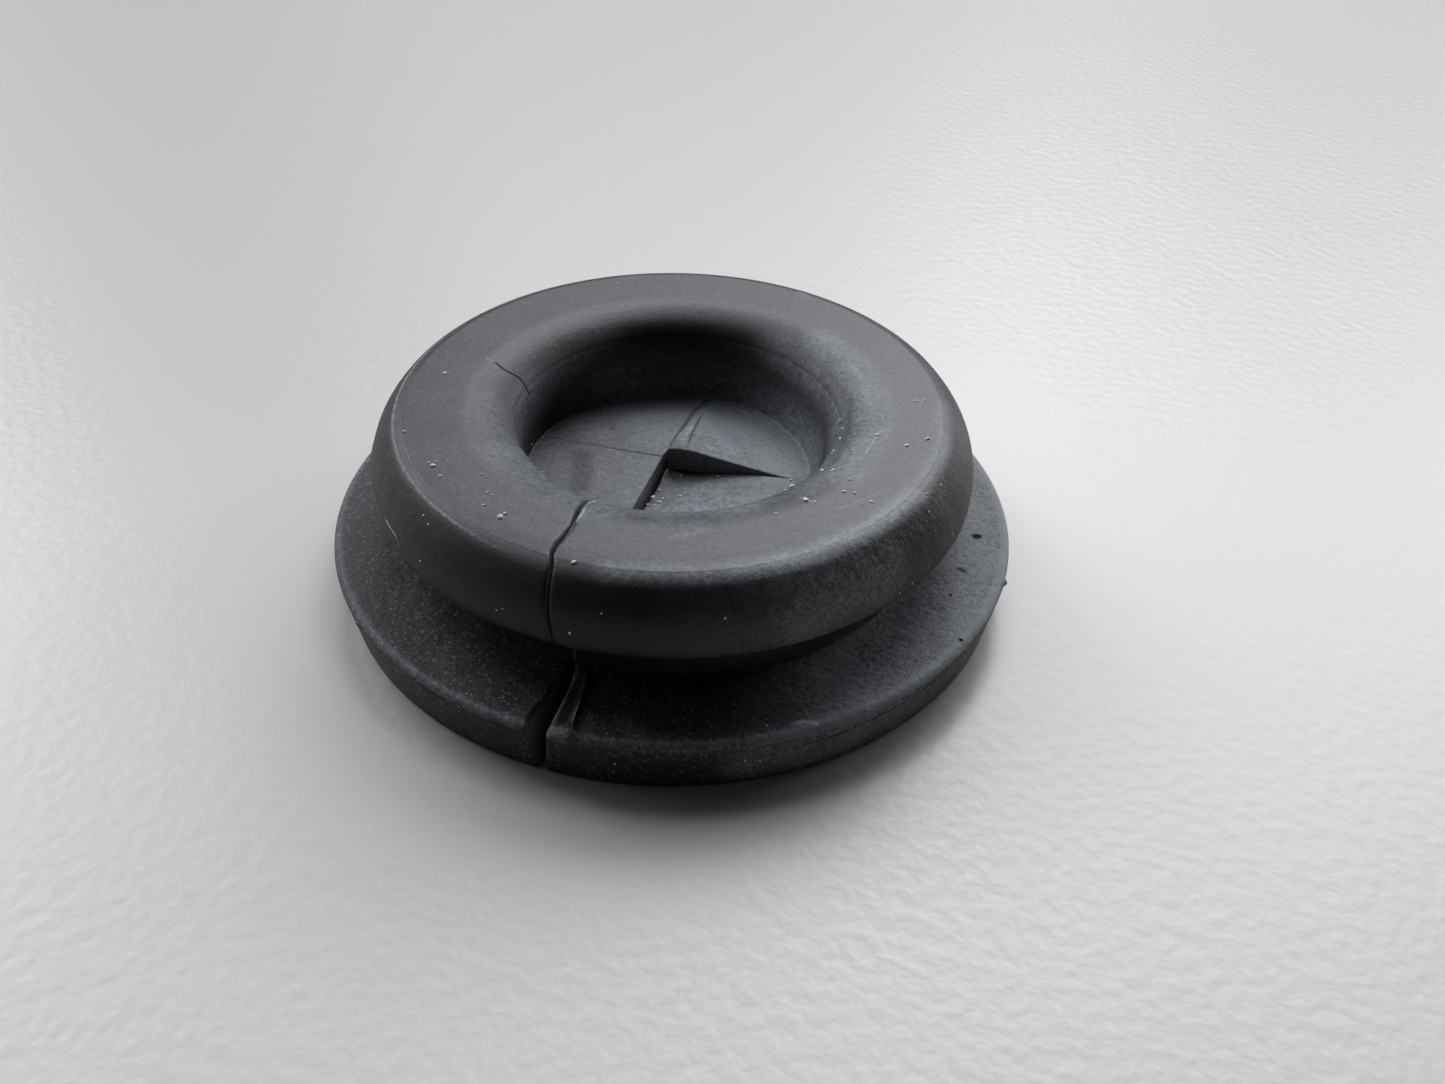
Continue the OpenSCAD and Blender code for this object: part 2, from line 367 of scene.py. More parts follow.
def ring_points():
    """Grid of points, one row for each point of the section and one column for each angle. Each point lies
    on the turned section, moved along its normal by what stands proud there."""
    section = ring_section()
    step = np.gradient(section, axis=0)
    normal = np.stack([-step[:, 1], step[:, 0]], 1) / np.linalg.norm(step, axis=1)[:, None]
    travel = np.concatenate([[0], np.cumsum(np.linalg.norm(np.diff(section, axis=0), axis=1))])
    left, right = slit_faces(section, travel)
    from_mouth = np.hypot(section[:, 0] - MOUTH_R, section[:, 1] - MOUTH_Z)
    way = np.abs(travel - travel[np.argmin(from_mouth)])[:, None]

    r, z = section[:, :1], section[:, 1:]
    # the bore isn't quite true to the ring: at the membrane it lies to the left, at its edge to the right
    shift = np.interp(z, [0.4, 3.5, 4.7, 7.75, 8.5], [0, -0.33, -0.33, 0.15, 0]) * (r < DISH_R)
    base = column_angles()[None, :]
    lean = smooth(1 - base / SLIT_REACH) * np.arcsin((right[:, None] - shift) / r)
    lean = lean + smooth(1 - (2 * math.pi - base) / SLIT_REACH) * np.arcsin((left[:, None] - shift) / r)
    angle = base + lean
    turn = np.degrees(np.where(angle > math.pi, angle - 2 * math.pi, angle))
    across = r * np.sin(angle)
    from_right = r * (angle - angle[:, :1])
    from_left = r * (angle[:, -1:] - angle)
    right_half, front = angle < math.pi, np.cos(angle) > 0

    proud = slit_lips(r, z, from_left, from_right) + flash_lines(r, z, turn) - mouth_wear(way, turn, angle)
    proud = proud + right_half * (front * rib(r, z, across, right[:, None]) + groove_fin(r, z, from_right))
    true_points = np.stack([across, -r * np.cos(angle), z + 0 * angle], -1)
    for centre, radius, height in RING_MARKS:
        proud = proud + bump(true_points, centre, radius, height)
    # the ring isn't quite round: one part in four hundred
    proud = proud + 0.03 * np.sin(2 * angle + 0.6) * smooth(np.abs(normal[:, :1]) / 0.9) * (r > 9)

    out = r + normal[:, :1] * proud
    up = z + normal[:, 1:] * proud - front_facet(r, z, turn)
    return section, np.stack([out * np.sin(angle) + shift, -out * np.cos(angle), up], -1)


# The flaps go in the order of the ring's columns, each with its corner at the crossing. The cuts are the
# front one, the right one, which ends short of the wall, the rear one, the left one, and the front one again.
CROSSING = np.array([-0.84, 0.90])
CORNERS = np.array([[-0.66, 0.81], [-0.62, 0.98], [-0.92, 0.94], [-0.88, 0.89]])
CUT_SHARE = [1.0, 0.9 ** 1.5, 1.0, 1.0, 1.0]          # how much of each arm is cut, from the crossing outwards
CUT_ROUNDING = [0.035, 0.035, 0.035, 0.012, 0.035]    # how far the edges of each cut are rounded down, mm
CUT_EDGE = 0.08                                       # over what width they are rounded, mm
# The two flaps that have taken a set: share of the way from the hinge line to the corner, and height in mm
SUNK, RAISED = 0, 1
SET = {
    SUNK: [(0, 0), (0.21, -0.07), (0.37, -0.19), (0.60, -0.43), (0.71, -0.55), (0.84, -0.64), (0.92, -0.63),
           (1, -0.52)],
    RAISED: [(0, 0), (0.13, 0.07), (0.25, 0.17), (0.37, 0.25), (0.49, 0.35), (0.61, 0.43), (0.72, 0.53),
             (0.84, 0.58), (1, 0.46)],
}


def spline(knots, x):
    """Smooth curve through the knots: cubic Hermite pieces with the mean of the neighbouring slopes."""
    kx, ky = np.array(knots, float).T
    slope = np.gradient(ky, kx)
    k = np.clip(np.searchsorted(kx, x, side="right") - 1, 0, len(kx) - 2)
    width = kx[k + 1] - kx[k]
    t = np.clip((x - kx[k]) / width, 0, 1)
    return ((1 + 2 * t) * (1 - t) ** 2 * ky[k] + t * (1 - t) ** 2 * width * slope[k]
            + t * t * (3 - 2 * t) * ky[k + 1] + t * t * (t - 1) * width * slope[k + 1])


def flap_height(index, xy):
    """Height of a flap above the membrane's level. At shares u and v of its two arms, the way from the
    hinge line is s = 1 - u - v, where the share of the right arm is first divided by how much of it is cut,
    and the sunk flap takes u^1.3. The crease is eased by (s + sqrt(s^2 + ease)) / 2."""
    if index not in SET:
        return np.zeros(xy.shape[:-1])
    ease, cut = 0.006, CUT_SHARE[1]
    u, v = np.meshgrid(STEPS, STEPS, indexing="ij")
    s = 1 - u ** 1.3 - v / cut if index == SUNK else 1 - u / cut - v
    height = spline(SET[index], (s + np.sqrt(s * s + ease)) / 2)
    uncut = STEPS >= cut - 1e-6
    if index == SUNK:
        height[0, uncut] = 0
    else:
        height[uncut, 0] = 0
        # a second, shallow knife line leaves a sliver beside the rear cut
        depth, half_width = 0.05, 0.07
        start, end = np.array([0.22, 1.00]), np.array([-0.11, 5.00])
        way = (end - start) / np.hypot(*(end - start))
        side = (xy - start) @ np.array([way[1], -way[0]])
        fade = smooth((6.2 - xy[..., 1]) / 2.5)
        height = height - depth * np.clip(1 - np.abs(side) / half_width, 0, 1) * fade
    height[-1, :] = height[:, -1] = 0
    return height


def flap_grid(index, wall):
    """Plan of one flap as a grid: row 0 and column 0 lie on its two cuts, the last ones on its root.
    Inside it is a Coons patch: the two ruled surfaces less the bilinear one."""
    q = STEPS[:, None]
    corner = CORNERS[index]
    arms = []
    for end, share in ((wall[0], CUT_SHARE[index]), (wall[-1], CUT_SHARE[index + 1])):
        if share < 1.0:
            arms.append(CROSSING + (end - CROSSING) * q + (corner - CROSSING) * np.clip(1 - q / share, 0, 1))
        else:
            arms.append(corner + (end - corner) * q)
    first, second = arms                                   # along i at j = 0, and along j at i = 0
    far_i, far_j = wall[:HALF + 1], wall[HALF:][::-1]      # along j at i = HALF, and along i at j = HALF
    u, v = STEPS[:, None, None], STEPS[None, :, None]
    ruled_i = (1 - v) * first[:, None] + v * far_j[:, None]
    ruled_j = (1 - u) * second[None, :] + u * far_i[None, :]
    middle = wall[HALF]
    bilinear = (1 - u) * (1 - v) * corner + u * (1 - v) * first[-1] + (1 - u) * v * second[-1] + u * v * middle
    return ruled_i + ruled_j - bilinear


MOULDED, CUT, DUST = 0, 1, 2     # kinds of face, in the order of the materials


def grommet_mesh():
    """The whole surface in one closed mesh: ring, the faces of its slit, the four flaps above and below,
    and the faces of their cuts. Returns points in mm, faces, and the kind of each face."""
    section, ring = ring_points()
    rows, columns = ring.shape[:2]
    points = [ring.reshape(-1, 3)]
    at = np.arange(rows * columns).reshape(rows, columns)
    faces, kind = [], []

    def grid_faces(index, made=MOULDED):
        quads = np.stack([index[:-1, :-1], index[1:, :-1], index[1:, 1:], index[:-1, 1:]], -1).reshape(-1, 4)
        faces.extend(quads.tolist())
        kind.extend([made] * len(quads))

    grid_faces(at)

    # the two faces of the slit, in three parts: wall, head and flange
    def row_near(r, z):
        return int(np.argmin(np.hypot(*(section - (r, z)).T)))

    top, lip = row_near(EDGE[0], TOP_Z), row_near(GROOVE_R, LIP_Z - 0.1)
    sill, foot = row_near(GROOVE_R, FLANGE_T + 0.05), row_near(GROOVE_R, 0.0)
    for column, flip in ((0, False), (columns - 1, True)):
        loops = [
            list(range(top, lip + 1)),
            list(range(sill, foot + 1)),
            list(range(0, top + 1)) + list(range(lip, sill + 1)) + list(range(foot, rows)),
        ]
        for loop in loops:
            loop = at[loop, column].tolist()
            faces.append(loop[::-1] if flip else loop)
            kind.append(CUT)

    count = rows * columns
    membrane_face = (ring[0, :, :2], MEMBRANE_Z, 0)                               # its edge, level and row
    membrane_back = (ring[-1, :, :2], MEMBRANE_Z - MEMBRANE_T, rows - 1)
    for index in range(4):
        span = slice(index * 2 * HALF, (index + 1) * 2 * HALF + 1)
        layers = []
        for wall, level, row in (membrane_face, membrane_back):
            plan = flap_grid(index, wall[span])
            height = flap_height(index, plan)
            if row == 0:                       # only the face has rounded cuts
                for a, b, cut, along in ((plan[0, 0], plan[-1, 0], index, STEPS[:, None]),
                                         (plan[0, 0], plan[0, -1], index + 1, STEPS[None, :])):
                    way = (b - a) / np.hypot(*(b - a))
                    gap = np.abs((plan - a) @ np.array([way[1], -way[0]]))
                    rounded = CUT_ROUNDING[cut] * smooth((CUT_SHARE[cut] - along) / 0.08)
                    height = height - rounded * np.clip(1 - gap / CUT_EDGE, 0, 1) ** 2
            layer = np.concatenate([plan, (level + height)[..., None]], -1)
            own = count + np.arange((HALF + 1) ** 2).reshape(HALF + 1, HALF + 1)
            own[HALF, :] = at[row, span][:HALF + 1]
            own[:, HALF] = at[row, span][HALF:][::-1]
            points.append(layer.reshape(-1, 3))
            count += (HALF + 1) ** 2
            layers.append(own)
            grid_faces(own if row == 0 else own.T)
        upper, lower = layers
        for share, high, low, flip in ((CUT_SHARE[index], upper[:, 0], lower[:, 0], False),
                                       (CUT_SHARE[index + 1], upper[0, :], lower[0, :], True)):
            last = int(np.argmin(np.abs(STEPS - share)))
            strip = np.stack([high[:last + 1], low[:last + 1]], 1)
            grid_faces(strip[:, ::-1] if flip else strip, CUT)
    return np.concatenate(points), faces, kind


# Pale smears, scratches and worn edges, and painted highlights on the lip, the slit, the sliver and the rib:
# half width in mm, strength, and the points they run through
SMEARS_AND_HIGHLIGHTS = [
    (0.07, 0.55, (9.17, -1.39, 8.55), (9.26, -0.6, 8.56), (9.34, 0.15, 8.57)),
    (0.06, 0.35, (8.77, 3.86, 8.47), (9.33, 1.40, 8.57)),
    (0.06, 0.60, (9.34, 0.24, 8.57), (9.54, 0.57, 8.59), (9.82, 0.73, 8.6)),
    (0.08, 0.55, (8.83, -5.86, 8.56), (10.01, -4.50, 8.55), (10.55, -3.70, 8.54)),
    (0.05, 0.45, (8.34, -3.12, 8.45), (8.86, -2.54, 8.52)),
    (0.10, 0.50, (7.31, -5.42, 8.5), (7.84, -5.64, 8.57)),
    (0.06, 0.70, (9.82, 3.12, 8.6), (9.98, 2.99, 8.6)),
    (0.05, 0.60, (10.38, 3.31, 8.6), (10.57, 3.55, 8.6)),
    (0.05, 0.60, (10.85, 3.55, 8.6), (10.97, 3.68, 8.6)),
    (0.07, 0.75, (10.66, -0.36, 8.6), (10.85, -0.21, 8.6)),
    (0.07, 0.75, (11.40, 0.46, 8.6), (11.73, 0.58, 8.6)),
    (0.25, 0.14, (3.04, -9.65, 8.6), (3.98, -8.93, 8.6)),
    (0.16, 0.75, (9.1, -12.5, 2.7), (9.4, -12.25, 2.7), (9.9, -12.2, 2.7)),
    # painted highlight: a glint on the lip above the torn parting line
    (0.09, 1.00, (-9.90, -9.62, 6.55), (-9.45, -10.07, 6.46), (-8.80, -10.65, 6.40)),
    # painted highlight on the right lip of the slit, beside the mouth
    (0.10, 0.70, (-0.95, -7.6, 8.0), (-1.0, -8.3, 8.35), (-0.95, -9.1, 8.55), (-0.93, -9.8, 8.6)),
    (0.08, 0.40, (-9.55, 0.71, 8.60), (-9.32, 0.63, 8.57)),
    # painted highlight on the sliver beside the rear cut, where it is bent
    (0.10, 0.50, (-0.12, 2.17, 5.23), (-0.15, 2.74, 5.15), (-0.15, 3.31, 5.09)),
    (0.10, 0.20, (-0.36, -12.15, 3.0), (-0.30, -12.15, 4.6)),
    # painted highlight on the crest of the rib
    (0.05, 0.45, (0.42, -13.2, 2.86), (0.55, -14.0, 2.86), (0.65, -14.9, 2.86), (0.82, -15.55, 2.86)),
    (0.06, 0.22, (-0.15, -13.0, 2.7), (-0.12, -15.0, 2.7), (-0.1, -15.9, 2.5)),
]

# Dark creases, pits and stains, and painted shadow beside the raised flap, under the rim and on the rib, in the
# same form
CREASES_AND_SHADOWS = [
    (0.09, 0.80, (-9.02, 0.53, 8.53), (-8.57, 0.30, 8.42), (-8.11, 0.26, 8.25), (-7.80, 0.32, 8.06),
     (-7.41, 0.19, 7.66), (-7.23, 0.17, 7.30)),
    # painted shadow of the raised flap's edge, on the flap beside it
    (0.14, 0.55, (-0.80, 2.00, 4.7), (-0.75, 3.35, 4.7), (-0.67, 4.89, 4.7), (-0.39, 6.36, 4.7)),
    (0.08, 0.45, (0.19, 1.51, 5.24), (0.08, 2.48, 5.11), (0.00, 3.42, 5.02), (-0.07, 4.65, 4.88),
     (-0.19, 6.07, 4.68)),
    # painted shadow under the upper edge of the rim, on the right
    (0.09, 0.80, (9.60, -12.7, 1.9), (10.72, -11.8, 1.9), (12.28, -10.2, 2.04), (13.8, -8.02, 2.07),
     (14.97, -5.57, 2.19)),
    (0.80, 0.35, (-4.6, -0.3, 4.7), (-4.0, -1.6, 4.7), (-3.8, -2.6, 4.7)),
    # painted shade on the rib beside the slit
    (0.36, 0.95, (0.12, -13.0, 2.8), (0.2, -14.0, 2.8), (0.3, -15.2, 2.8)),
    (0.27, 1.00, (14.24, 1.98, 2.7), (14.34, 2.03, 2.7)),
    (0.20, 0.60, (13.84, -0.66, 2.7), (14.07, -0.74, 2.7)),
    (0.11, 0.90, (13.78, -2.61, 2.7), (13.80, -2.65, 2.7)),
    (0.13, 1.00, (14.67, -5.45, 2.7), (14.72, -5.45, 2.7)),
]

# Patches where the grey bloom is made thicker, mostly as painted light on the dish, the walls of the bore, the
# membrane, the right side and the front and right edge of the top, in the same form. These fade out over their
# whole width.
BLOOM_AND_LIGHT_FILMS = [
    (2.2, 0.34, (-5.6, -5.6, 8.1), (-3.0, -7.4, 8.1), (0.0, -8.0, 8.1), (3.0, -7.4, 8.1), (5.6, -5.6, 8.1)),
    (2.0, 0.22, (-7.4, -2.6, 8.1), (-5.6, -5.6, 8.1)),
    (2.0, 0.28, (5.6, -5.6, 8.1), (7.5, -2.7, 8.1)),
    (2.0, 0.36, (-5.2, 5.0, 7.4), (-7.2, 0.0, 7.2), (-6.4, -3.2, 7.0)),
    (1.7, 0.50, (7.4, -1.6, 7.6), (6.8, 3.2, 7.6), (4.9, 5.4, 7.7)),
    (1.9, 0.42, (4.9, 5.4, 7.8), (2.8, 6.8, 7.9)),
    (1.6, 0.48, (8.5, -3.0, 8.4), (8.9, 0.5, 8.4), (8.3, 3.4, 8.4), (6.9, 5.6, 8.4), (5.0, 7.4, 8.4)),
    (4.4, 0.70, (-4.0, 4.5, 4.7), (1.0, 5.0, 4.7), (4.5, 3.0, 4.7)),
    (2.2, 0.50, (8.8, -10.3, 7.0), (10.2, -8.8, 7.3), (11.3, -7.5, 7.2)),
    (3.6, 0.25, (1.4, -2.4, 4.3), (4.2, -2.0, 4.5)),
    (0.8, 0.16, (2.6, -14.3, 2.7), (3.2, -14.9, 2.7)),
    (1.9, 0.38, (7.6, -13.8, 1.2), (11.0, -11.2, 1.2)),
    (0.8, 0.60, (1.2, -12.2, 8.2), (5.0, -11.2, 8.2), (8.2, -9.2, 8.3), (10.4, -6.6, 8.4), (11.8, -3.6, 8.4)),
    (0.7, 0.30, (11.8, -3.6, 8.4), (12.3, 0.0, 8.4), (11.8, 3.6, 8.4)),
]

# Crumbs of dust: place and diameter, mm
CRUMBS = [
    (-10.81, -1.21, 8.60, .20), (-10.43, -6.14, 8.60, .16), (-8.35, -7.97, 8.60, .12), (-8.09, -8.13, 8.60, .20),
    (-8.10, -7.82, 8.60, .10), (-7.64, -7.65, 8.60, .10), (-7.48, -8.73, 8.60, .12), (-5.88, -8.08, 8.60, .12),
    (-5.15, -9.18, 8.60, .10), (-4.86, -9.28, 8.60, .10), (-4.92, -10.02, 8.60, .12), (-3.95, -10.56, 8.60, .26),
    (-3.86, -10.29, 8.60, .18), (-7.31, -10.80, 8.08, .12), (-6.93, -11.16, 7.97, .10), (-7.15, -11.81, 6.47, .10),
    (-6.73, -1.26, 4.70, .12), (-5.85, -2.09, 4.70, .12), (-6.88, .55, 4.74, .16), (-6.88, -.49, 4.98, .12),
    (-6.26, 9.64, 8.60, .12), (-2.04, 11.20, 8.60, .12), (-0.12, -12.26, 8.58, .20), (-0.09, -2.05, 4.25, .22),
    (-0.45, -0.95, 4.18, .16), (-0.58, -1.60, 4.30, .22), (-0.58, -2.30, 4.40, .14), (0.74, -1.37, 4.30, .12),
    (0.22, -13.83, 6.29, .14), (1.44, -13.46, 7.31, .10), (-3.01, -13.49, 6.31, .08), (-2.72, -13.53, 6.47, .08),
    (-0.18, -2.35, 4.35, .12), (-0.03, -1.65, 4.25, .10), (7.17, 2.03, 7.86, .12), (7.49, 1.20, 7.95, .14),
    (7.59, .39, 7.96, .16), (7.50, -.83, 7.92, .12), (7.51, -.53, 7.91, .12), (7.53, -2.64, 8.18, .14),
    (8.10, -2.84, 8.42, .16), (8.02, -2.90, 8.40, .12), (6.45, -3.72, 7.86, .26), (5.43, .96, 4.70, .16),
    (6.32, -4.21, 7.95, .12), (8.54, -1.14, 8.43, .12), (9.34, .15, 8.57, .16), (10.78, -.28, 8.60, .18),
    (9.86, 3.04, 8.60, .10), (10.46, 3.42, 8.60, .14), (10.89, 3.61, 8.60, .12), (11.56, .52, 8.60, .20),
    (9.36, -4.44, 8.60, .14), (8.95, -3.57, 8.60, .14), (8.90, -4.50, 8.60, .14), (7.52, -5.53, 8.57, .24),
    (10.14, -4.83, 8.60, .14), (12.23, -3.28, 8.43, .10), (12.64, -2.31, 8.29, .12), (13.49, -2.98, 6.36, .12),
    (12.46, -3.99, 8.03, .10), (12.37, -6.23, 5.90, .10), (11.98, -6.95, 5.83, .10), (13.27, -2.26, 2.70, .14),
    (13.98, .46, 2.70, .10), (6.59, -6.87, 8.59, .12), (9.80, -5.11, 8.60, .10), (7.92, -5.58, 8.60, .12),
    (8.10, -12.93, 2.70, .12), (6.02, -12.17, 7.23, .10), (7.51, -13.96, 1.60, .12), (8.05, -13.62, 1.43, .12),
    (2.61, -15.63, 1.53, .10), (0.17, .51, 4.06, .10), (1.95, .70, 4.32, .10), (3.10, -1.58, 4.66, .08),
    (.77, 2.23, 5.09, .09),
]


BANDS, ROUND = 5, 8              # rings of points on a crumb, and points in each ring
CRUMB_SIZE = BANDS * ROUND + 2   # all its points, with the two poles


def crumb_points(spot, up, size, dice):
    """A crushed ball around a spot of the skin. On the unit ball, point (a, b) is
    (sin a cos b, sin a sin b, cos a); it is pressed flat along the skin's normal, and a third sinks in."""
    a = np.pi * np.arange(1, BANDS + 1) / (BANDS + 1)
    a, b = np.meshgrid(a, 2 * np.pi * np.arange(ROUND) / ROUND, indexing="ij")
    ball = np.stack([np.sin(a) * np.cos(b), np.sin(a) * np.sin(b), np.cos(a)], -1).reshape(-1, 3)
    ball = np.concatenate([ball, [[0, 0, 1], [0, 0, -1]]]) * dice.uniform(0.8, 1.2, (CRUMB_SIZE, 1))
    ball *= [dice.uniform(0.8, 1.25), dice.uniform(0.7, 1.0), 0.6]
    turn = up.to_track_quat("Z", "Y").to_matrix() @ Matrix.Rotation(dice.uniform(0, 6.28), 3, "Z")
    return np.array(spot) + np.array(up) * 0.1 * size + ball @ np.array(turn).T * size / 2


def crumb_faces(first):
    """Faces of one crumb whose points start at the given number: bands of quads between its rings, and two
    caps round its poles, which are its last two points."""
    ring = first + np.arange(BANDS * ROUND).reshape(BANDS, ROUND)
    after = np.roll(ring, -1, axis=1)
    bands = np.stack([ring[:-1], ring[1:], after[1:], after[:-1]], -1).reshape(-1, 4)
    top, bottom = first + CRUMB_SIZE - 2, first + CRUMB_SIZE - 1
    caps = [[top, int(p), int(q)] for p, q in zip(ring[0], after[0])]
    caps += [[bottom, int(q), int(p)] for p, q in zip(ring[-1], after[-1])]
    return bands.tolist() + caps


points, faces, kind = grommet_mesh()
skin_tree = BVHTree.FromPolygons(points.tolist(), faces)
dice = np.random.default_rng(7)
crumbs = []
for *near, size in CRUMBS:
    spot, up, _, _ = skin_tree.find_nearest(near)
    own_faces = crumb_faces(len(points) + CRUMB_SIZE * len(crumbs))
    faces += own_faces
    kind += [DUST] * len(own_faces)
    crumbs.append(crumb_points(spot, up, size, dice))

rubber_mesh = bpy.data.meshes.new("grommet_rubber")
rubber_mesh.from_pydata(np.concatenate([points] + crumbs) * MM, [], faces)
rubber_mesh.polygons.foreach_set("material_index", kind)
rubber_mesh.polygons.foreach_set("use_smooth", [True] * len(faces))
build = bmesh.new()
build.from_mesh(rubber_mesh)
bmesh.ops.remove_doubles(build, verts=build.verts, dist=1e-7)
bmesh.ops.delete(build, geom=[v for v in build.verts if not v.link_faces], context="VERTS")
bmesh.ops.recalc_face_normals(build, faces=build.faces)
build.to_mesh(rubber_mesh)
build.free()
rubber_mesh.set_sharp_from_angle(angle=math.radians(38))
grommet = bpy.data.objects.new("grommet_rubber", rubber_mesh)
bpy.context.scene.collection.objects.link(grommet)


def marks_on(tree, mm, lines, core=0.3):
    """How much of a mark there is here. It is whole within core * width of the straight line from a to b, and
    falls to 0 at the width: 3u^2 - 2u^3. The foot of the perpendicular on the line lies at
    t = (p - a).(b - a) / |b - a|^2, kept between 0 and 1."""
    total = None
    for width, strength, *path in lines:
        for a, b in zip(path[:-1], path[1:]):
            way = Vector(b) - Vector(a)
            scaled = tuple(way / way.length_squared)
            off = add_node(tree, "VectorMath", {0: mm, 1: a}, operation="SUBTRACT")
            t = add_node(tree, "VectorMath", {0: off, 1: scaled}, "Value", operation="DOT_PRODUCT")
            t = add_node(tree, "Clamp", {0: t})
            foot = add_node(tree, "VectorMath", {0: tuple(way), "Scale": t}, operation="SCALE")
            gap = add_node(tree, "VectorMath", {0: off, 1: foot}, "Value", operation="DISTANCE")
            mark = add_node(tree, "MapRange", {0: gap, 1: core * width, 2: width, 3: strength, 4: 0.0},
                            interpolation_type="SMOOTHSTEP")
            total = mark if total is None else add_node(tree, "Math", {0: total, 1: mark}, operation="MAXIMUM")
    return total


# Carbon-black rubber from a mould: nearly black, faintly blue, matt, with a low sheen at a flat angle.
# The mould was turned, which leaves fine rings on the top. The grain is 0.1 mm, and it is coarser on the
# flange and on the sides, where the skin is gritty and glints.
skin, tree, shader = material("moulded_rubber")
mm = in_mm(tree)
x = add_node(tree, "SeparateXYZ", {0: mm})
y, z = x.node.outputs[1], x.node.outputs[2]
radius = add_node(tree, "CombineXYZ", {0: x, 1: y})
radius = add_node(tree, "VectorMath", {0: radius}, "Value", operation="LENGTH")
rightness = add_node(tree, "Math", {0: x, 1: radius}, operation="DIVIDE")      # from -1 on the left to 1

# The scale of a noise is its waves in a mm: the grain is 9 to a mm, and the blotches are 2 mm wide. The
# rings of the mould are 7 to a mm, each about 1 mm long.
turned = add_node(tree, "Math", {0: radius, 1: 7.0}, operation="MULTIPLY")
turned = add_node(tree, "CombineXYZ", {0: turned, 1: x, 2: y})
fine = add_node(tree, "TexNoise", {"Vector": mm, "Scale": 9.0, "Detail": 2.0})
coarse = add_node(tree, "TexNoise", {"Vector": mm, "Scale": 3.6, "Detail": 3.0, "Roughness": 0.6})
grit = add_node(tree, "TexNoise", {"Vector": mm, "Scale": 7.0, "Detail": 3.0, "Roughness": 0.75})
blotch = add_node(tree, "TexNoise", {"Vector": mm, "Scale": 0.45, "Detail": 4.0, "Roughness": 0.55})
rings = add_node(tree, "TexNoise", {"Vector": turned, "Scale": 1.0, "Detail": 2.0})

# where on the part this is; gritty is the flange and the outer side on the left and the right
on_top = add_node(tree, "MapRange", {0: z, 1: 8.3, 2: 8.55})
below_top = add_node(tree, "MapRange", {0: z, 1: 8.3, 2: 8.55, 3: 1.0, 4: 0.0})
on_flange = add_node(tree, "MapRange", {0: z, 1: 2.9, 2: 3.3, 3: 1.0, 4: 0.0})
outside = add_node(tree, "MapRange", {0: radius, 1: 6.8, 2: 9.0})
sideways = add_node(tree, "Math", {0: rightness}, operation="ABSOLUTE")
gritty = add_node(tree, "MapRange", {0: sideways, 1: 0.3, 2: 0.8})
for share in (below_top, outside):
    gritty = add_node(tree, "Math", {0: gritty, 1: share}, operation="MULTIPLY")
gritty = add_node(tree, "Math", {0: gritty, 1: on_flange}, operation="MAXIMUM")

# glints of the grit: spots of about 0.1 mm in two cells out of three, fainter on the sides than on the flange
cells = add_node(tree, "TexVoronoi", {"Vector": mm, "Scale": 6.0}, "Distance", feature="F1")
spots = add_node(tree, "MapRange", {0: cells, 1: 0.18, 2: 0.42, 3: 1.0, 4: 0.0})
glint = add_node(tree, "SeparateColor", {0: cells.node.outputs["Color"]})
glint = add_node(tree, "MapRange", {0: glint, 1: 0.35, 2: 1.0})
for share in (spots, gritty, add_node(tree, "MapRange", {0: on_flange, 3: 0.35, 4: 1.0})):
    glint = add_node(tree, "Math", {0: glint, 1: share}, operation="MULTIPLY")

# smears and painted highlights, with the worn ridge of flash on the left of the top; a noise breaks them up
broken = add_node(tree, "TexNoise", {"Vector": mm, "Scale": 5.0, "Detail": 2.0})
broken = add_node(tree, "MapRange", {0: broken, 1: 0.36, 2: 0.56, 3: 0.25, 4: 1.0})
flash = add_node(tree, "Math", {0: radius, 1: FLASH_R, 2: 0.07}, operation="COMPARE")
leftward = add_node(tree, "MapRange", {0: rightness, 1: -0.2, 2: -0.5, 4: 0.35})
for share in (add_node(tree, "MapRange", {0: z, 1: 7.9, 2: 8.1}), leftward):
    flash = add_node(tree, "Math", {0: flash, 1: share}, operation="MULTIPLY")
smear_and_highlight = add_node(tree, "Math", {0: marks_on(tree, mm, SMEARS_AND_HIGHLIGHTS), 1: flash}, operation="MAXIMUM")
smear_and_highlight = add_node(tree, "Math", {0: smear_and_highlight, 1: broken}, operation="MULTIPLY")
# dark creases and stains, and painted shadow and shade
crease_and_shadow = marks_on(tree, mm, CREASES_AND_SHADOWS)

# a thin grey bloom of dust and wax on what faces up, and painted light: most on the membrane, then on the right
# side, and on the flange, lighter from the left to the right, where light falls on them. The rim's upper edge is
# worn pale, and painted lighter to the right as a highlight.
up = add_node(tree, "SeparateXYZ", {0: add_node(tree, "NewGeometry", out="Normal")}, 2)
bloom_and_painted_light = add_node(tree, "MapRange", {0: up, 1: 0.8, 2: 1.0, 3: 0.0, 4: 0.20})
# painted light on the membrane, deep in the bore
membrane_painted_light = add_node(tree, "MapRange", {0: radius, 1: 6.6, 2: 7.0, 3: 0.25, 4: 0.0})
above_cuts = add_node(tree, "MapRange", {0: z, 1: 4.0, 2: 4.3})
membrane_painted_light = add_node(tree, "Math", {0: membrane_painted_light, 1: above_cuts}, operation="MULTIPLY")
